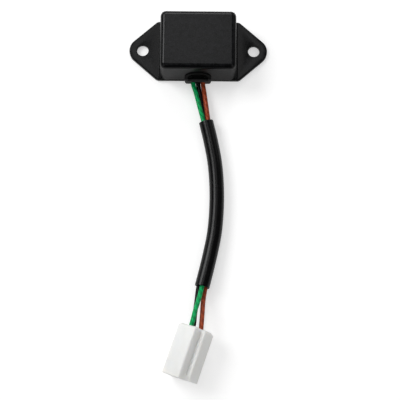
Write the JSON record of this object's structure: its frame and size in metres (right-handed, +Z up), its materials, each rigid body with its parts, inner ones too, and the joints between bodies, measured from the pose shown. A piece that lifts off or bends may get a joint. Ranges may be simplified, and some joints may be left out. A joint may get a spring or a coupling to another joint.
{
  "type": "voltage regulator",
  "caption": "Potted voltage regulator: a black moulded case between two drilled fixing ears, with a short sleeved lead and a T-shaped connector.",
  "frame": {"origin": "middle of the underside, halfway between the two fixing holes", "axes": "+X from the left fixing hole to the right one, +Z up out of the mounting surface towards the case's top, the lead leaves towards -Y"},
  "size_m": [0.0744, 0.1943, 0.021],
  "materials": {
    "case_plastic": "satin black moulded plastic with a fine grain",
    "potting_resin": "glossy black casting resin",
    "board_laminate": "green lacquered glass laminate",
    "device_plastic": "black moulded device body",
    "device_glass_red": "glossy red glass body",
    "resistor_coat": "tan lacquer",
    "capacitor_case": "red film capacitor case",
    "solder": "bright tin solder",
    "grommet_rubber": "matt black rubber",
    "insulation_green": "green vinyl insulation",
    "insulation_black": "black vinyl insulation",
    "insulation_brown": "reddish brown vinyl insulation",
    "sleeve_vinyl": "soft black vinyl sleeve with a low sheen",
    "connector_nylon": "natural white nylon",
    "terminal_brass": "stamped brass"
  },
  "bodies": {
    "root": {"housing": "case_plastic", "potting": "potting_resin", "circuit_board": "board_laminate", "power_transistor": "device_plastic", "control_transistor": "device_plastic", "zener_diode": "device_glass_red", "flyback_diode": "device_plastic", "sense_resistor": "resistor_coat", "divider_resistor": "resistor_coat", "base_resistor": "resistor_coat", "filter_capacitor": "capacitor_case", "solder_joints": "solder", "grommet": "grommet_rubber", "wire_green": "insulation_green", "wire_black": "insulation_black", "wire_brown": "insulation_brown", "sleeve": "sleeve_vinyl", "connector_housing": "connector_nylon", "terminal_green": "terminal_brass", "terminal_black": "terminal_brass", "terminal_brown": "terminal_brass"}
  },
  "joints": []
}
